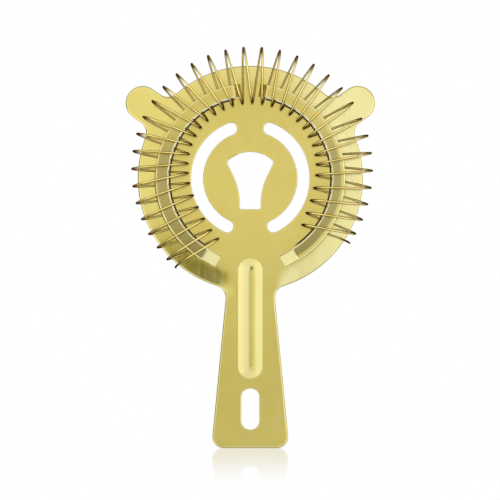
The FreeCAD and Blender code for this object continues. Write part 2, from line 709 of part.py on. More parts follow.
def across_strip(edge):
    """True for a straight edge that runs square across a strip."""
    width = size("strip_outer") - size("strip_inner")
    return is_curve(edge, Part.Line) and abs(edge.Length - width) < 0.01


def on_bend(edge):
    """A front edge where a strip bends down into a ramp."""
    return across_strip(edge) and lies_at(edge, strip_front())


def on_strip_front(edge):
    """A long front edge of either strip; the rounding follows it down the ramps."""
    return is_curve(edge, Part.Circle) and lies_at(edge, strip_front())


round_edges(plate, "StripBends", on_bend, "Sizes.strip_bend")
round_edges(plate, "StripEdges", on_strip_front, "Sizes.strip_edge")


def on_channel_mouth(edge):
    """The edge where the groove meets the spring-side face."""
    point = middle(edge)
    inside = -size("groove_low") - 0.01 < point.z < -size("groove_top") + 0.01
    return lies_at(edge, 0.0) and inside and abs(point.x) < 0.5 * size("groove_width") + 0.01


def on_outline(level):
    """A test for the edges of the plate's outline at one face."""
    def wanted(edge):
        if not lies_at(edge, level):
            return False
        point = middle(edge)
        if point.z < -size("groove_low") - 3.0:
            return abs(point.x) > 0.5 * size("hang_width") + 0.5 or point.z < -size("hang_level") - 9.0
        if point.z < -0.9 * size("disc_radius"):
            return abs(point.x) > 0.5 * size("groove_width") + 1.2
        return distance_from_axis(point) > size("disc_radius") - 0.05
    return wanted


def on_holes(edge):
    """A front edge of the curved slots, the middle opening or the hanging slot."""
    point = middle(edge)
    if not lies_at(edge, 0.0):
        return False
    if abs(point.x) < 0.5 * size("hang_width") + 0.1 and point.z < -size("groove_low") - 1.0:
        return abs(point.z + size("hang_level")) < 0.5 * size("hang_length") + 0.1
    return distance_from_axis(point) < size("slot_outer") + 0.05


round_edges(plate, "ChannelMouth", on_channel_mouth, "Sizes.groove_edge")
def on_bulge_foot(edge):
    """The edge where the back of the groove meets the plate's back."""
    point = middle(edge)
    inside = -size("groove_low") - 2.0 < point.z < -size("groove_top") + 2.0
    half = 0.5 * size("groove_width") + 0.6 * size("plate_thickness")
    return lies_at(edge, size("plate_thickness")) and inside and abs(point.x) < half


round_edges(plate, "BulgeFoot", on_bulge_foot, "Sizes.groove_edge")
round_edges(plate, "RimFront", on_outline(0.0), "Sizes.rim_edge")
round_edges(plate, "RimBack", on_outline(size("plate_thickness")), "Sizes.back_edge")
round_edges(plate, "HoleEdges", on_holes, "Sizes.hole_edge")

# ---------------------------------------------------------------- the spring
def widening(angle):
    """How far a turn lies beyond the even part of the ring, in degrees."""
    return max(0.0, abs(angle) - size("spread_start"))


def ring_point(radius, angle, depth):
    """A point of the coil from its radius and angle about the ring, and its depth."""
    turn = math.radians(angle)
    return FreeCAD.Vector(
        size("ring_right") + radius * math.sin(turn), -depth, size("ring_up") + radius * math.cos(turn)
    )


def outer_radius(angle):
    """Radius of the outer tips, a little larger at the ends."""
    share = widening(angle) / SPREAD_SPAN
    return size("coil_outer") + size("end_outer_gain") * share ** 2


def fanning(angle):
    """Lean of the inner tip that follows a turn towards its end of the spring, in degrees."""
    start = size("fan_left") if angle < 0.0 else size("fan_right")
    return math.copysign(size("fan_rate") * max(0.0, abs(angle) - start), angle)


def inner_radius(angle):
    """Radius of the inner tips, larger at the ends where the turns fan out."""
    share = abs(fanning(angle)) / FAN_SPAN
    return size("coil_inner") + size("end_inner_gain") * share ** FAN_POWER


def tip_angles():
    """The outer tips from the left end, clockwise, with a closed turn at each end."""
    tips = []
    half = 0.5 * (FULL_TURNS - 1)
    for turn in range(FULL_TURNS):
        share = turn / half - 1.0
        evenly = share * half * size("coil_pitch") - size("coil_middle")
        tips.append(evenly + size("coil_lean") * share ** 2 - size("coil_closing") * share ** 5)
    return [tips[0] - size("end_tip_lead")] + tips + [tips[-1] + size("end_tip_lead")]


def coil_points():
    """Corner points of the wire: four to a turn, before their corners are rounded."""
    tips = tip_angles()
    near = size("coil_clearance")
    far = near + size("coil_depth")
    spread = size("tip_spread")
    points = []
    for place, tip in enumerate(tips):
        following = tips[place + 1] if place + 1 < len(tips) else tip + size("end_tip_lead")
        inner = 0.5 * (tip + following) + fanning(tip)
        outer_r = outer_radius(tip)
        inner_r = inner_radius(tip)
        points.append(ring_point(outer_r, tip - spread, near))
        points.append(ring_point(outer_r, tip + spread, far))
        if place + 1 < len(tips):
            points.append(ring_point(inner_r, inner - spread, far))
            points.append(ring_point(inner_r, inner + spread, near))
    return points


def rounded_wire(points):
    """Straight runs joined by tangent arcs, each as large as its runs allow."""
    edges = []
    last = points[0]
    smallest = None
    for place in range(1, len(points) - 1):
        corner = points[place]
        back = points[place - 1] - corner
        ahead = points[place + 1] - corner
        cut = PATH_REACH * min(back.Length, ahead.Length)
        back.normalize()
        ahead.normalize()
        turn = math.pi - back.getAngle(ahead)
        radius = cut / math.tan(0.5 * turn)
        inward = back + ahead
        inward.normalize()
        centre = corner + inward * (radius / math.cos(0.5 * turn))
        begin = corner + back * cut
        finish = corner + ahead * cut
        edges.append(Part.LineSegment(last, begin).toShape())
        edges.append(Part.Arc(begin, centre - inward * radius, finish).toShape())
        smallest = radius if smallest is None else min(smallest, radius)
        last = finish
    edges.append(Part.LineSegment(last, points[-1]).toShape())
    print("spring: %d edges, smallest bend radius %.2f" % (len(edges), smallest))
    return Part.Wire(edges)


points = coil_points()
centreline = doc.addObject("Part::Feature", "SpringCentreline")
centreline.Shape = rounded_wire(points)
centreline.Visibility = False

section = doc.addObject("Part::Circle", "WireSection")
section.setExpression("Radius", "Sizes.wire_diameter / 2")
direction = points[1] - points[0]
section.Placement = FreeCAD.Placement(
    points[0], FreeCAD.Rotation(FreeCAD.Vector(0, 0, 1), direction)
)
spring = doc.addObject("Part::Sweep", "CoilSpring")
spring.Label = "coil_spring"
spring.Sections = [section]
spring.Spine = (centreline, ["Edge%d" % number for number in range(1, len(centreline.Shape.Edges) + 1)])
spring.Solid = True
spring.Frenet = False
doc.recompute()
print("spring volume %.2f of %.2f" % (
    spring.Shape.Volume,
    math.pi * size("wire_diameter") ** 2 / 4 * centreline.Shape.Length,
))

# Stand the strainer on the end of its handle, centred front to back.
FRONT = "(Sizes.coil_clearance + Sizes.coil_depth + Sizes.wire_diameter / 2)"
BACK = "(Sizes.plate_thickness + Sizes.groove_depth)"
for piece in (plate, spring):
    piece.Placement = FreeCAD.Placement(FreeCAD.Vector(0, 0, 1), FreeCAD.Rotation())
    piece.setExpression("Placement.Base.y", "(%s - %s) / 2" % (FRONT, BACK))
    piece.setExpression("Placement.Base.z", "Sizes.handle_reach")
doc.recompute()

# ---------------------------------------------------------------- checks and export
for item in doc.Objects:
    if "Invalid" in item.State or "Error" in item.State:
        raise RuntimeError("%s: %s" % (item.Name, item.State))
parts = [plate, spring]
for piece in parts:
    shape = piece.Shape
    if shape.isNull() or not shape.isValid() or len(shape.Solids) != 1:
        raise RuntimeError("%s is not one valid solid" % piece.Label)
overlap = plate.Shape.common(spring.Shape).Volume
print("overlap of plate and spring: %.5f mm3" % overlap)

os.makedirs("parts", exist_ok=True)
for piece in parts:
    piece.Shape.exportStep(os.path.join("parts", piece.Label + ".step"))
    box = piece.Shape.BoundBox
    print(piece.Label, "%.2f x %.2f x %.2f" % (box.XLength, box.YLength, box.ZLength))
    print("   from", [round(v, 2) for v in (box.XMin, box.YMin, box.ZMin)])
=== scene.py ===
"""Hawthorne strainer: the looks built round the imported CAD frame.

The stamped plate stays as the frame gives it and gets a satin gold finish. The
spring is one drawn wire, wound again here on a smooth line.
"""

import json
import logging
import math
from dataclasses import dataclass, field
from enum import Enum

import bmesh
import bpy
from mathutils import Euler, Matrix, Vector

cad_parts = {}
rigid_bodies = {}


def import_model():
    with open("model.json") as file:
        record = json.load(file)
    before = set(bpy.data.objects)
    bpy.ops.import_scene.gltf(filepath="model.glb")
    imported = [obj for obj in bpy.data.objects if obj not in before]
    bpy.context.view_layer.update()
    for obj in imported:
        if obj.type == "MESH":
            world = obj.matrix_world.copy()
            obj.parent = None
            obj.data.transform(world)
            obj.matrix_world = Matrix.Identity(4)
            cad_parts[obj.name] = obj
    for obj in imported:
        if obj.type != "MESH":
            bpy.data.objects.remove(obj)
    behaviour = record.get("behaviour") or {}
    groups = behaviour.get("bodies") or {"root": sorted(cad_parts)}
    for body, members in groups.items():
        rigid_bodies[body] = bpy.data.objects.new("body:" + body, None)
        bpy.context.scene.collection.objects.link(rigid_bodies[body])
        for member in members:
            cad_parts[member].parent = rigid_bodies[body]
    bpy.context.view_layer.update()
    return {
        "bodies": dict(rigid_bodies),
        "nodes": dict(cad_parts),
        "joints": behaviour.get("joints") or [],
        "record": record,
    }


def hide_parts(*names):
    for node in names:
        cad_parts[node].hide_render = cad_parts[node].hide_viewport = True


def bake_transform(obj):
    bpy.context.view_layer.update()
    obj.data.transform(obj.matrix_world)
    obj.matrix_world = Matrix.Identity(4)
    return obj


LOG = logging.getLogger("strainer")
MM = 0.001

Colour = tuple[float, float, float]
Span = tuple[float, float]


class Body(Enum):
    """The moving bodies of the frame that pieces ride on."""

    PLATE = "plate"
    SPRING = "spring"


class Node(Enum):
    """The CAD nodes of the frame."""

    PLATE = "strainer_plate"
    SPRING = "coil_spring"


class Slot(Enum):
    """The record's material slots."""

    PLATE = "plate_steel"
    WIRE = "spring_wire"


@dataclass
class NodeGraph:
    """A node tree with short ways to add and join its nodes."""

    tree: bpy.types.NodeTree

    def add(self, kind: str, **inputs: object) -> bpy.types.Node:
        """Add a node.

        Args:
            kind: the node's type name.
            inputs: node properties by name.

        Returns:
            The new node.
        """
        node = self.tree.nodes.new(kind)
        for name, value in inputs.items():
            setattr(node, name, value)
        return node

    def feed(self, value: object, socket: bpy.types.NodeSocket) -> None:
        """Link an output to a socket, or set the socket's own value.

        Args:
            value: an output socket, or a plain value.
            socket: the input to fill.
        """
        if isinstance(value, bpy.types.NodeSocket):
            self.tree.links.new(value, socket)
        else:
            socket.default_value = value

    def maths(self, operation: str, *values: object) -> bpy.types.NodeSocket:
        """Add a Math node.

        Args:
            operation: the node's operation.
            values: its inputs in order.

        Returns:
            Its result.
        """
        node = self.add("ShaderNodeMath", operation=operation)
        for place, value in enumerate(values):
            self.feed(value, node.inputs[place])
        return node.outputs[0]

    def vector(self, operation: str, *values: object) -> bpy.types.Node:
        """Add a Vector Math node.

        Args:
            operation: the node's operation.
            values: its inputs in order.

        Returns:
            The node, because its result may be a vector or a number.
        """
        node = self.add("ShaderNodeVectorMath", operation=operation)
        for place, value in enumerate(values):
            self.feed(value, node.inputs[place])
        return node

    def ramp(
        self, value: object, low: float, high: float, start: float, end: float
    ) -> bpy.types.NodeSocket:
        """Add a smooth Map Range node.

        Args:
            value: the number to map.
            low: where the change begins.
            high: where it ends.
            start: the result at low.
            end: the result at high.

        Returns:
            The mapped number.
        """
        node = self.add("ShaderNodeMapRange", interpolation_type="SMOOTHSTEP")
        for place, item in enumerate((value, low, high, start, end)):
            self.feed(item, node.inputs[place])
        return node.outputs[0]

    def noise(
        self, place: object, scale: float, detail: float, stretch: Colour = (1.0, 1.0, 1.0)
    ) -> bpy.types.NodeSocket:
        """Add a Noise Texture on stretched coordinates.

        Args:
            place: the coordinates.
            scale: the noise's scale.
            detail: its detail.
            stretch: a factor for each axis.

        Returns:
            The noise as a number from 0 to 1.
        """
        mapping = self.add("ShaderNodeMapping")
        self.feed(place, mapping.inputs["Vector"])
        mapping.inputs["Scale"].default_value = stretch
        texture = self.add("ShaderNodeTexNoise")
        self.feed(mapping.outputs[0], texture.inputs["Vector"])
        texture.inputs["Scale"].default_value = scale
        texture.inputs["Detail"].default_value = detail
        return texture.outputs["Fac"]

    def blend_colours(self, share: object, first: object, second: object) -> bpy.types.NodeSocket:
        """Mix two colours.

        Args:
            share: how much of the second colour.
            first: a colour or an output.
            second: a colour or an output.

        Returns:
            The mixed colour.
        """
        node = self.add("ShaderNodeMix", data_type="RGBA")
        self.feed(share, node.inputs[0])
        for colour, socket in ((first, node.inputs[6]), (second, node.inputs[7])):
            plain = not isinstance(colour, bpy.types.NodeSocket)
            self.feed((*colour, 1.0) if plain else colour, socket)
        return node.outputs[2]

    def squareness(self) -> bpy.types.NodeSocket:
        """How squarely a surface faces the front or the back, from 0 to 1."""
        split = self.add("ShaderNodeSeparateXYZ")
        self.feed(self.add("ShaderNodeNewGeometry").outputs["Normal"], split.inputs[0])
        return self.maths("ABSOLUTE", split.outputs[1])


def start_material(name: str) -> tuple[bpy.types.Material, NodeGraph, bpy.types.Node]:
    """Make a material with an empty Principled shader.

    Args:
        name: the material's name.

    Returns:
        The material, its graph and its Principled node.
    """
    material = bpy.data.materials.new(name)
    material.use_nodes = True
    graph = NodeGraph(material.node_tree)
    graph.tree.nodes.clear()
    shader = graph.add("ShaderNodeBsdfPrincipled")
    output = graph.add("ShaderNodeOutputMaterial")
    graph.feed(shader.outputs[0], output.inputs[0])
    return material, graph, shader


@dataclass(frozen=True)
class Spot:
    """Where a shaded point lies, as outputs of a node graph, in metres."""

    place: bpy.types.NodeSocket
    across: bpy.types.NodeSocket
    depth: bpy.types.NodeSocket
    height: bpy.types.NodeSocket
    level: bpy.types.NodeSocket
    radius: bpy.types.NodeSocket

    @classmethod
    def read(cls, graph: NodeGraph, centre_across: float, centre_height: float) -> "Spot":
        """Read the point from Object coordinates.

        Args:
            graph: the graph to add to.
            centre_across: how far right of the plate's axis the centre lies.
            centre_height: how high it lies.

        Returns:
            The point, with its level above that centre and its distance from it.
        """
        place = graph.add("ShaderNodeTexCoord").outputs["Object"]
        split = graph.add("ShaderNodeSeparateXYZ")
        graph.feed(place, split.inputs[0])
        across, depth, height = split.outputs
        aside = graph.maths("SUBTRACT", across, centre_across)
        level = graph.maths("SUBTRACT", height, centre_height)
        squares = [graph.maths("MULTIPLY", side, side) for side in (aside, level)]
        radius = graph.maths("SQRT", graph.maths("ADD", *squares))
        return cls(place, across, depth, height, level, radius)


@dataclass(frozen=True)
class SatinGold:
    """Gold-coloured coating over polished sheet steel, with a faint grain.

    Sizes are in metres, the strips' angles in degrees and the painted gap shade's in radians. A
    span is where a change begins and where it ends. The disc's margin is dished
    very slightly away from the spring side, and shows only as shading. Painted shade
    darkens the strips between their rims, most low down, with painted highlights on
    the rims and painted shade lines beside the strips' cuts; the colour is also a
    little darker lower down, over the handle.
    """

    name: str = "satin_gold_plate"
    light: Colour = (0.800, 0.655, 0.166)
    deep: Colour = (0.755, 0.608, 0.144)
    # painted shade on the strips under the spring's wires, darkest low down (this colour and the next)
    strip_shade: Colour = (0.44, 0.365, 0.125)
    strip_shade_most: Colour = (0.31, 0.255, 0.085)
    # painted shade for the dark lines beside the strips' cuts
    gap_shade: Colour = (0.06, 0.04, 0.012)
    # painted highlight along the strips' rims
    rim_highlight_colour: Colour = (0.93, 0.82, 0.30)
    grazing: Colour = (0.55, 0.42, 0.15)
    smoothest: float = 0.135
    dullest: float = 0.215
    edge_roughness: float = 0.50
    edge_turn: Span = (0.45, 0.70)
    grain_height: float = 0.0000009
    ripple_height: float = 0.00019
    disc_level: float = 0.1068
    raised: Span = (-0.0004, 0.0002)
    strip_inner: float = 0.0324
    strip_outer: float = 0.0375
    strip_begins: float = 10.2
    strip_ends: float = 149.0
    # where the painted shade on the strips reaches, left and right, and where it fades
    left_unshaded: float = 0.0006
    right_unshaded: float = 0.0016
    by_the_axis: Span = (-0.001, 0.001)
    strip_shade_soft: float = 0.0003
    strip_shade_inside: Span = (0.0003, 0.0007)
    strip_shade_levels: Span = (0.008, 0.024)
    strip_shade_above: float = 0.15
    darkest_levels: Span = (-0.028, -0.008)
    rim: Span = (0.0006, 0.0003)
    rim_share: float = 0.9
    # offsets and spans of the painted shade lines beside the strips' cuts
    inner_gap_shade: float = 0.0004
    inner_gap_shade_half: Span = (0.0003, 0.0005)
    outer_gap_shade: float = 0.0003
    outer_gap_shade_half: Span = (0.0001, 0.0003)
    outer_gap_shade_share: float = 0.75
    outer_gap_shade_turn: Span = (1.3, 1.7)
    outer_gap_shade_right: float = 0.35
    left_to_right: Span = (-0.02, 0.02)
    gap_shade_fade_in: float = 0.03
    gap_shade_fade_out: float = 0.12
    dish_start: float = 0.0378
    dish_slope: float = 0.10
    dish_ease: float = 0.0018
    dish_right: float = 0.0025
    neck_levels: Span = (-0.0370, -0.0270)
    neck_sides: Span = (0.0075, 0.0165)
    handle_levels: Span = (-0.0490, -0.0430)
    handle_tone: float = 0.885
    tone_heights: Span = (0.059, 0.090)

    def painted_strip_shade(self, graph: NodeGraph, spot: Spot) -> bpy.types.NodeSocket:
        """How much painted shade darkens a strip, most between its rims and low down.

        Args:
            graph: the graph to add to.
            spot: the shaded point.

        Returns:
            A share from 0 to 1.
        """
        left = self.strip_outer - self.left_unshaded
        right = self.strip_outer - self.right_unshaded
        reach = graph.ramp(spot.across, *self.by_the_axis, left, right)
        past = graph.maths("SUBTRACT", spot.radius, reach)
        within = graph.ramp(past, -self.strip_shade_soft, self.strip_shade_soft, 1.0, 0.0)
        begin, end = self.strip_shade_inside
        beyond = graph.ramp(spot.radius, self.strip_inner + begin, self.strip_inner + end, 0.0, 1.0)
        low_down = graph.ramp(spot.level, *self.strip_shade_levels, 1.0, self.strip_shade_above)
        return graph.maths("MULTIPLY", graph.maths("MULTIPLY", within, beyond), low_down)

    def rim_highlights(self, graph: NodeGraph, spot: Spot) -> bpy.types.NodeSocket:
        """The painted highlights along both edges of a strip.

        Args:
            graph: the graph to add to.
            spot: the shaded point.

        Returns:
            A share from 0 to 1.
        """
        halfway = 0.5 * (self.strip_inner + self.strip_outer)
        half_width = self.strip_outer - halfway
        off_middle = graph.maths("ABSOLUTE", graph.maths("SUBTRACT", spot.radius, halfway))
        begin, end = self.rim
        return graph.ramp(off_middle, half_width - begin, half_width - end, 0.0, self.rim_share)

    def gap_shade_lines(self, graph: NodeGraph, spot: Spot) -> bpy.types.NodeSocket:
        """Painted shade lines on the disc beside the cuts of each strip.

        Args:
            graph: the graph to add to.
            spot: the shaded point.

        Returns:
            How much of the painted shade's colour shows.
        """
        turn = graph.maths("ARCTAN2", graph.maths("ABSOLUTE", spot.across), spot.level)
        begins = math.radians(self.strip_begins)
        ends = math.radians(self.strip_ends)
        edge = graph.maths("SUBTRACT", spot.radius, self.strip_inner - self.inner_gap_shade)
        inner = graph.ramp(graph.maths("ABSOLUTE", edge), *self.inner_gap_shade_half, 1.0, 0.0)
        started = graph.ramp(turn, begins, begins + self.gap_shade_fade_in, 0.0, 1.0)
        inner = graph.maths("MULTIPLY", inner, started)
        edge = graph.maths("SUBTRACT", spot.radius, self.strip_outer + self.outer_gap_shade)
        outer = graph.maths("ABSOLUTE", edge)
        outer = graph.ramp(outer, *self.outer_gap_shade_half, self.outer_gap_shade_share, 0.0)
        outer = graph.maths("MULTIPLY", outer, graph.ramp(turn, *self.outer_gap_shade_turn, 0.0, 1.0))
        side = graph.ramp(spot.across, *self.left_to_right, 1.0, self.outer_gap_shade_right)
        lines = graph.maths("MAXIMUM", inner, graph.maths("MULTIPLY", outer, side))
        unfinished = graph.ramp(turn, ends - self.gap_shade_fade_out, ends, 1.0, 0.0)
        return graph.maths("MULTIPLY", lines, unfinished)

    def colour(self, graph: NodeGraph, spot: Spot, cloud: object) -> bpy.types.NodeSocket:
        """The coating's colour, with painted shade on the strips and beside their cuts and painted
        highlights along their rims.

        Args:
            graph: the graph to add to.
            spot: the shaded point.
            cloud: a slow noise.

        Returns:
            The colour.
        """
        coating = graph.blend_colours(graph.ramp(cloud, 0.35, 0.68, 0.0, 1.0), self.light, self.deep)
        # painted shade darkens the raised strips, most low down
        raised = graph.ramp(spot.depth, *self.raised, 1.0, 0.0)
        darkest = graph.ramp(spot.level, *self.darkest_levels, 1.0, 0.0)
        strip_shade = graph.blend_colours(darkest, self.strip_shade, self.strip_shade_most)
        shaded = graph.maths("MULTIPLY", raised, self.painted_strip_shade(graph, spot))
        coating = graph.blend_colours(shaded, coating, strip_shade)
        # painted highlight along the strips' rims
        bright = graph.maths("MULTIPLY", raised, self.rim_highlights(graph, spot))
        coating = graph.blend_colours(bright, coating, self.rim_highlight_colour)
        # painted shade lines beside the strips' cuts
        coating = graph.blend_colours(self.gap_shade_lines(graph, spot), coating, self.gap_shade)
        toned = graph.vector("SCALE", coating)
        # the colour is a little darker lower down, over the handle
        tone = graph.ramp(spot.height, *self.tone_heights, self.handle_tone, 1.0)
        graph.feed(tone, toned.inputs["Scale"])
        return toned.outputs[0]

    def roughness(self, graph: NodeGraph, spot: Spot) -> bpy.types.NodeSocket:
        """Scuffed faces and duller cut edges.

        Args:
            graph: the graph to add to.
            spot: the shaded point.

        Returns:
            The roughness.
        """
        scuff = graph.noise(spot.place, 240.0, 5.0, (1.6, 1.0, 0.5))
        faces = graph.ramp(scuff, 0.3, 0.75, self.smoothest, self.dullest)
        edges = graph.ramp(graph.squareness(), *self.edge_turn, self.edge_roughness, 0.1)
        return graph.maths("MAXIMUM", faces, edges)

    def dish(self, graph: NodeGraph, spot: Spot) -> bpy.types.NodeSocket:
        """Height of the dished margin, falling outwards on the spring side.

        Args:
            graph: the graph to add to.
            spot: the shaded point.

        Returns:
            The height in metres.
        """
        beyond = graph.maths("SUBTRACT", spot.radius, self.dish_start)
        eased = graph.maths("ADD", graph.maths("MULTIPLY", beyond, beyond), self.dish_ease**2)
        beyond = graph.maths("ADD", beyond, graph.maths("SQRT", eased))
        beyond = graph.maths("MULTIPLY", beyond, 0.5)
        aside = graph.maths("ABSOLUTE", graph.maths("SUBTRACT", spot.across, self.dish_right))
        above_neck = graph.ramp(spot.level, *self.neck_levels, 0.0, 1.0)
        beside_neck = graph.ramp(aside, *self.neck_sides, 0.0, 1.0)
        on_disc = graph.maths("MAXIMUM", above_neck, beside_neck)
        above_handle = graph.ramp(spot.level, *self.handle_levels, 0.0, 1.0)
        on_disc = graph.maths("MULTIPLY", on_disc, above_handle)
        return graph.maths("MULTIPLY", graph.maths("MULTIPLY", beyond, -self.dish_slope), on_disc)

    def relief(self, graph: NodeGraph, spot: Spot, cloud: object) -> bpy.types.NodeSocket:
        """Ripple, grain and dished margin as a bump.

        Args:
            graph: the graph to add to.
            spot: the shaded point.
            cloud: a slow noise.

        Returns:
            The bumped normal.
        """
        grain = graph.noise(spot.place, 900.0, 2.0, (1.0, 1.0, 0.22))
        ripple = graph.maths("MULTIPLY", cloud, self.ripple_height)
        fine = graph.maths("MULTIPLY", grain, self.grain_height)
        height = graph.maths("ADD", graph.maths("ADD", ripple, fine), self.dish(graph, spot))
        bump = graph.add("ShaderNodeBump")
        bump.inputs["Strength"].default_value = 1.0
        bump.inputs["Distance"].default_value = 1.0
        graph.feed(height, bump.inputs["Height"])
        return bump.outputs[0]

    def material(self) -> bpy.types.Material:
        """Build the material.

        Returns:
            The finished material.
        """
        material, graph, shader = start_material(self.name)
        spot = Spot.read(graph, 0.0, self.disc_level)
        cloud = graph.noise(spot.place, 26.0, 3.0)
        graph.feed(self.colour(graph, spot, cloud), shader.inputs["Base Color"])
        graph.feed(self.roughness(graph, spot), shader.inputs["Roughness"])
        graph.feed(self.relief(graph, spot, cloud), shader.inputs["Normal"])
        shader.inputs["Metallic"].default_value = 1.0
        shader.inputs["Specular Tint"].default_value = (*self.grazing, 1.0)
        return material


@dataclass(frozen=True)
class DrawnWire:
    """Bright drawn wire, with painted shade along its sides, at its tips and near the plate.

    Sizes are in metres. A span is where a change begins and where it ends.
    """

    name: str = "drawn_gold_wire"
    light: Colour = (0.95, 0.73, 0.16)
    deep: Colour = (0.82, 0.57, 0.10)
    # painted shade on the wire's sides, its tips and its legs near the plate
    wire_shade: Colour = (0.095, 0.054, 0.007)
    grazing: Colour = (0.22, 0.12, 0.02)
    ring_right: float = 0.0007
    ring_level: float = 0.1111
    # where the painted shade on the wire falls
    outer_tips: Span = (0.0425, 0.0455)
    outer_share: float = 0.6
    inner_tips: Span = (0.0275, 0.0305)
    inner_share: float = 0.5
    near_plate: Span = (-0.0010, 0.0025)
    near_share: float = 0.6
    bright_front: Span = (0.58, 0.88)
    smoothest: float = 0.10
    dullest: float = 0.18
    draw_height: float = 0.000004

    def painted_wire_shade(self, graph: NodeGraph, spot: Spot, tone: object) -> bpy.types.NodeSocket:
        """How far painted shade darkens the wire.

        Args:
            graph: the graph to add to.
            spot: the shaded point.
            tone: a slow noise.

        Returns:
            A share from 0 to 1.
        """
        outside = graph.ramp(spot.radius, *self.outer_tips, 0.0, self.outer_share)
        inside = graph.ramp(spot.radius, *self.inner_tips, self.inner_share, 0.0)
        behind = graph.ramp(spot.depth, *self.near_plate, 0.0, self.near_share)
        tips = graph.maths("MAXIMUM", graph.maths("ADD", outside, inside), behind)
        sides = graph.ramp(graph.squareness(), *self.bright_front, 1.0, 0.0)
        patchy = graph.ramp(tone, 0.3, 0.7, 0.85, 1.0)
        return graph.maths("MULTIPLY", graph.maths("MAXIMUM", tips, sides), patchy)

    def material(self) -> bpy.types.Material:
        """Build the material.

        Returns:
            The finished material.
        """
        material, graph, shader = start_material(self.name)
        spot = Spot.read(graph, self.ring_right, self.ring_level)
        tone = graph.noise(spot.place, 60.0, 3.0)
        draw = graph.noise(spot.place, 1500.0, 2.0)
        colour = graph.blend_colours(graph.ramp(tone, 0.35, 0.7, 0.0, 1.0), self.light, self.deep)
        # painted shade mixed into the wire's colour
        share = self.painted_wire_shade(graph, spot, tone)
        graph.feed(graph.blend_colours(share, colour, self.wire_shade), shader.inputs["Base Color"])
        shader.inputs["Metallic"].default_value = 1.0
        shader.inputs["Specular Tint"].default_value = (*self.grazing, 1.0)
        graph.feed(graph.ramp(tone, 0.3, 0.7, self.smoothest, self.dullest), shader.inputs["Roughness"])
        bump = graph.add("ShaderNodeBump")
        bump.inputs["Strength"].default_value = 0.6
        bump.inputs["Distance"].default_value = self.draw_height
        graph.feed(draw, bump.inputs["Height"])
        graph.feed(bump.outputs[0], shader.inputs["Normal"])
        return material


@dataclass
class StrainerPlate:
    """The stamped plate, as the frame gives it."""

    finish: SatinGold = field(default_factory=SatinGold)

    def build(self, frame: dict) -> bpy.types.Object:
        """Dress the CAD plate.


        Returns:
            The CAD node's object.
        """
        plate = frame["nodes"][Node.PLATE.value]
        material = self.finish.material()
        if not plate.material_slots:
            plate.data.materials.append(material)
        for place in plate.material_slots:
            place.material = material
        return plate


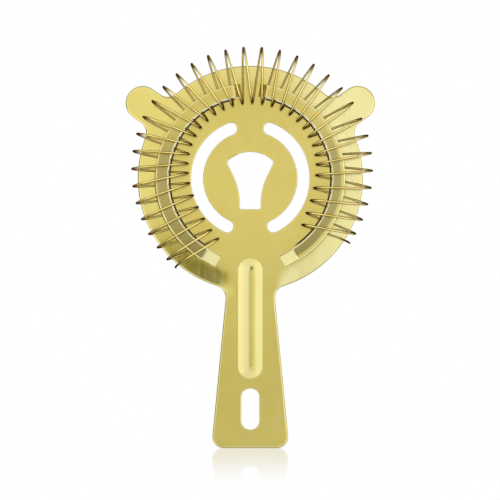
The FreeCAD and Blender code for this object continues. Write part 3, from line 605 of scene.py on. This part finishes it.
@dataclass
class CoilSpring:
    """One wire wound as a flattened coil round the strips. Lengths in millimetres.

    Angles run clockwise from the top, seen from the spring side.
    """

    disc_level: float = 106.8
    front_level: float = 3.95
    wire_diameter: float = 0.8
    outer: float = 47.3
    inner: float = 25.5
    depth: float = 9.0
    clearance: float = 0.8
    ring_right: float = 0.7
    ring_up: float = 4.3
    pitch: float = 8.76
    middle: float = 8.5
    end_turn: float = 1.2
    closing: float = 5.7
    end_lead: float = 4.8
    tip_spread: float = 0.5
    full_turns: int = 32
    spread_start: float = 80.0
    spread_span: float = 58.0
    outer_gain: float = 2.2
    fan_left: float = 105.0
    fan_right: float = 88.6
    fan_rate: float = 0.4
    fan_span: float = 15.0
    fan_power: float = 2.5
    inner_gain: float = 5.8
    round_steps: int = 3
    length_steps: int = 8
    still_below: float = 76.0
    full_above: float = 150.0
    finish: DrawnWire = field(default_factory=DrawnWire)

    def beyond(self, angle: float) -> float:
        """Degrees by which a turn lies outside the even part of the ring."""
        return max(0.0, abs(angle) - self.spread_start)

    def lean(self, angle: float) -> float:
        """Signed lean, in degrees, of the inner tip that follows a turn."""
        start = self.fan_left if angle < 0.0 else self.fan_right
        return math.copysign(self.fan_rate * max(0.0, abs(angle) - start), angle)

    def place(self, radius: float, angle: float, depth: float) -> Vector:
        """A point of the coil.

        Args:
            radius: distance from the ring's centre.
            angle: degrees clockwise from the top.
            depth: distance in front of the plate's spring side.

        Returns:
            The point in the row frame, in metres.
        """
        turn = math.radians(angle)
        return MM * Vector(
            (
                self.ring_right + radius * math.sin(turn),
                self.front_level - depth,
                self.disc_level + self.ring_up + radius * math.cos(turn),
            )
        )

    def tips(self) -> list[float]:
        """Angles of the outer tips, clockwise, with a closed turn at each end."""
        found: list[float] = []
        half = 0.5 * (self.full_turns - 1)
        for turn in range(self.full_turns):
            share = turn / half - 1.0
            evenly = share * half * self.pitch - self.middle
            found.append(evenly + self.end_turn * share**2 - self.closing * share**5)
        return [found[0] - self.end_lead, *found, found[-1] + self.end_lead]

    def line(self) -> list[Vector]:
        """Control points of the wire's centre line, four to a turn.

        Returns:
            The points in the row frame.
        """
        tips = self.tips()
        near, far = self.clearance, self.clearance + self.depth
        points: list[Vector] = []
        for count, tip in enumerate(tips):
            last = count + 1 == len(tips)
            following = tip + self.end_lead if last else tips[count + 1]
            outer = self.outer + self.outer_gain * (self.beyond(tip) / self.spread_span) ** 2
            lean = self.lean(tip)
            inner = self.inner + self.inner_gain * (abs(lean) / self.fan_span) ** self.fan_power
            middle = 0.5 * (tip + following) + lean
            points.append(self.place(outer, tip - self.tip_spread, near))
            points.append(self.place(outer, tip + self.tip_spread, far))
            if not last:
                points.append(self.place(inner, middle - self.tip_spread, far))
                points.append(self.place(inner, middle + self.tip_spread, near))
        return points

    def curve(self) -> bpy.types.Object:
        """Lay a round-sectioned curve along the wire's line.

        Returns:
            The curve's object, linked to the scene.
        """
        curve = bpy.data.curves.new("spring_wire_line", "CURVE")
        curve.dimensions = "3D"
        curve.bevel_depth = 0.5 * self.wire_diameter * MM
        curve.bevel_resolution = self.round_steps
        curve.use_fill_caps = True
        curve.twist_mode = "MINIMUM"
        spline = curve.splines.new("NURBS")
        points = self.line()
        spline.points.add(len(points) - 1)
        for point, where in zip(spline.points, points):
            point.co = (*where, 1.0)
        spline.order_u = 3
        spline.use_endpoint_u = True
        spline.resolution_u = self.length_steps
        source = bpy.data.objects.new("spring_wire_line", curve)
        bpy.context.scene.collection.objects.link(source)
        bpy.context.view_layer.update()
        return source

    def mesh(self) -> bpy.types.Mesh:
        """Turn the curve into one closed, smooth mesh whose faces point outwards.

        Returns:
            The wire's mesh, in its finish.
        """
        source = self.curve()
        graph = bpy.context.evaluated_depsgraph_get()
        mesh = bpy.data.meshes.new_from_object(source.evaluated_get(graph))
        bpy.data.objects.remove(source)
        mesh.name = "spring_wire"
        shell = bmesh.new()
        shell.from_mesh(mesh)
        bmesh.ops.remove_doubles(shell, verts=shell.verts, dist=1e-7)
        bmesh.ops.recalc_face_normals(shell, faces=shell.faces)
        shell.to_mesh(mesh)
        shell.free()
        for face in mesh.polygons:
            face.use_smooth = True
        mesh.materials.clear()
        mesh.materials.append(self.finish.material())
        return mesh

    def build(self) -> bpy.types.Object:
        """Wind the wire in place of the CAD spring, which it hides.

        Returns:
            The finished wire.
        """
        wire = bpy.data.objects.new("spring_wire", self.mesh())
        bpy.context.scene.collection.objects.link(wire)
        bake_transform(wire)
        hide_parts(Node.SPRING.value)
        return wire


@dataclass(frozen=True)
class Panel:
    """One soft-edged patch of light or shade round the studio, in degrees.

    Azimuth 0 is straight in front of the spring side and grows to the right,
    and elevation is above the horizontal. A negative glow is a shade.
    """

    azimuth: float
    elevation: float
    half_width: float
    half_height: float
    soft: float
    glow: Colour

    def fade(self, graph: NodeGraph, away: object, half: float) -> bpy.types.NodeSocket:
        """Fade out past the panel's edge.

        Args:
            graph: the graph to add to.
            away: angle from the panel's middle, in radians.
            half: half the panel's size, in degrees.

        Returns:
            1 on the panel and 0 well outside it.
        """
        return graph.ramp(away, math.radians(half), math.radians(half + self.soft), 1.0, 0.0)

    def patch(self, graph: NodeGraph, azimuth: object, elevation: object) -> bpy.types.NodeSocket:
        """The panel's light in a direction.

        Args:
            graph: the graph to add to.
            azimuth: the direction's azimuth, in radians.
            elevation: its elevation, in radians.

        Returns:
            The light's colour.
        """
        aside = graph.maths("ABSOLUTE", graph.maths("SUBTRACT", azimuth, math.radians(self.azimuth)))
        aside = graph.maths("MINIMUM", aside, graph.maths("SUBTRACT", 2.0 * math.pi, aside))
        above = graph.maths("SUBTRACT", elevation, math.radians(self.elevation))
        across = self.fade(graph, aside, self.half_width)
        upward = self.fade(graph, graph.maths("ABSOLUTE", above), self.half_height)
        patch = graph.vector("SCALE", self.glow)
        graph.feed(graph.maths("MULTIPLY", across, upward), patch.inputs["Scale"])
        return patch.outputs[0]


@dataclass
class Studio:
    """The floor, the camera and the soft light round the object. Lengths in metres."""

    width_seen: float = 0.1975
    distance: float = 1.5
    aim_x: float = -0.00012
    aim_z: float = 0.07844
    sensor: float = 36.0
    floor_half: float = 3.0
    floor_drop: float = 0.00002
    polish: float = 0.40
    polish_front: Span = (-0.26, -0.002)
    polish_behind: Span = (0.006, 0.040)
    polish_sides: Span = (0.045, 0.14)
    base_glow: Colour = (0.50, 0.52, 0.55)
    least_glow: Colour = (0.02, 0.02, 0.02)
    panels: tuple[Panel, ...] = (
        Panel(-2.0, 0.0, 50.0, 50.0, 14.0, (0.635, 0.715, 1.485)),
        Panel(0.0, 3.0, 3.5, 8.0, 6.0, (-0.27, -0.37, -1.20)),
        Panel(-13.0, 4.0, 3.0, 10.0, 6.0, (-0.10, -0.16, -0.80)),
        Panel(16.0, 0.0, 8.0, 16.0, 8.0, (0.03, 0.09, 0.54)),
        Panel(42.0, 0.0, 10.0, 20.0, 10.0, (0.25, 0.25, 0.40)),
        Panel(-38.0, 0.0, 12.0, 30.0, 10.0, (0.18, 0.20, 0.30)),
        Panel(-5.5, -12.0, 3.5, 3.5, 6.0, (-0.88, -0.95, -1.78)),
        Panel(-66.0, -30.0, 12.0, 12.0, 10.0, (0.62, 0.76, 1.90)),
        Panel(66.0, -30.0, 12.0, 12.0, 10.0, (0.62, 0.76, 1.90)),
        Panel(62.0, 4.0, 8.0, 12.0, 8.0, (0.80, 0.85, 1.30)),
        Panel(90.0, 0.0, 9.0, 26.0, 9.0, (0.45, 0.45, 0.45)),
        Panel(-92.0, 0.0, 12.0, 9.0, 8.0, (-0.38, -0.40, -0.48)),
        Panel(-90.0, -48.0, 14.0, 18.0, 8.0, (0.45, 0.50, 0.80)),
        Panel(180.0, 6.0, 14.0, 11.0, 3.0, (0.48, 0.46, 0.43)),
    )

    def camera(self) -> None:
        """Make the camera, square on to the spring side, far off and long."""
        data = bpy.data.cameras.new("camera")
        data.sensor_width = self.sensor
        data.lens = self.sensor * self.distance / self.width_seen
        data.dof.use_dof = False
        data.clip_end = 50.0
        camera = bpy.data.objects.new("camera", data)
        camera.location = (self.aim_x, -self.distance, self.aim_z)
        camera.rotation_euler = Euler((math.radians(90.0), 0.0, 0.0))
        bpy.context.scene.collection.objects.link(camera)
        bpy.context.scene.camera = camera

    def surround(self) -> None:
        """Light the studio from all round; the backdrop itself is plain white."""
        world = bpy.data.worlds.new("studio")
        bpy.context.scene.world = world
        world.use_nodes = True
        graph = NodeGraph(world.node_tree)
        graph.tree.nodes.clear()
        direction = graph.add("ShaderNodeTexCoord").outputs["Generated"]
        split = graph.add("ShaderNodeSeparateXYZ")
        graph.feed(direction, split.inputs[0])
        forward = graph.maths("MULTIPLY", split.outputs[1], -1.0)
        azimuth = graph.maths("ARCTAN2", split.outputs[0], forward)
        elevation = graph.maths("ARCSINE", split.outputs[2])
        light: object = self.base_glow
        for panel in self.panels:
            light = graph.vector("ADD", light, panel.patch(graph, azimuth, elevation)).outputs[0]
        light = graph.vector("MAXIMUM", light, self.least_glow).outputs[0]
        studio = graph.add("ShaderNodeBackground")
        graph.feed(light, studio.inputs[0])
        backdrop = graph.add("ShaderNodeBackground")
        backdrop.inputs[0].default_value = (1.0, 1.0, 1.0, 1.0)
        path = graph.add("ShaderNodeLightPath")
        mix = graph.add("ShaderNodeMixShader")
        graph.feed(path.outputs["Is Camera Ray"], mix.inputs[0])
        graph.feed(studio.outputs[0], mix.inputs[1])
        graph.feed(backdrop.outputs[0], mix.inputs[2])
        output = graph.add("ShaderNodeOutputWorld")
        graph.feed(mix.outputs[0], output.inputs[0])

    def floor(self) -> None:
        """Lay a plain white floor, polished just in front of the object."""
        mesh = bpy.data.meshes.new("floor")
        plane = bmesh.new()
        bmesh.ops.create_grid(plane, x_segments=1, y_segments=1, size=self.floor_half)
        plane.to_mesh(mesh)
        plane.free()
        material = bpy.data.materials.new("white_floor")
        material.use_nodes = True
        graph = NodeGraph(material.node_tree)
        graph.tree.nodes.clear()
        place = graph.add("ShaderNodeTexCoord").outputs["Object"]
        split = graph.add("ShaderNodeSeparateXYZ")
        graph.feed(place, split.inputs[0])
        share = graph.ramp(split.outputs[1], *self.polish_front, 0.0, self.polish)
        behind = graph.ramp(split.outputs[1], *self.polish_behind, 1.0, 0.0)
        aside = graph.maths("ABSOLUTE", split.outputs[0])
        near = graph.maths("MULTIPLY", behind, graph.ramp(aside, *self.polish_sides, 1.0, 0.0))
        white = graph.add("ShaderNodeEmission")
        white.inputs[0].default_value = (1.0, 1.0, 1.0, 1.0)
        gloss = graph.add("ShaderNodeBsdfGlossy")
        gloss.inputs["Color"].default_value = (1.0, 1.0, 1.0, 1.0)
        gloss.inputs["Roughness"].default_value = 0.05
        mix = graph.add("ShaderNodeMixShader")
        graph.feed(graph.maths("MULTIPLY", share, near), mix.inputs[0])
        graph.feed(white.outputs[0], mix.inputs[1])
        graph.feed(gloss.outputs[0], mix.inputs[2])
        output = graph.add("ShaderNodeOutputMaterial")
        graph.feed(mix.outputs[0], output.inputs[0])
        mesh.materials.append(material)
        floor = bpy.data.objects.new("floor", mesh)
        floor.location = (0.0, 0.0, -self.floor_drop)
        floor.visible_glossy = False
        bpy.context.scene.collection.objects.link(floor)

    def build(self) -> None:
        """Set up the camera, the light and the floor."""
        bpy.context.scene.view_settings.view_transform = "Standard"
        self.camera()
        self.surround()
        self.floor()


def main() -> None:
    """Build every piece in order and report it."""
    logging.basicConfig(level=logging.INFO, format="%(name)s: %(message)s")
    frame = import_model()
    plate = StrainerPlate().build(frame)
    LOG.info("%s: %d faces", plate.name, len(plate.data.polygons))
    wire = CoilSpring().build()
    LOG.info("%s: %d faces", wire.name, len(wire.data.polygons))
    Studio().build()


if __name__ == "__main__":
    main()
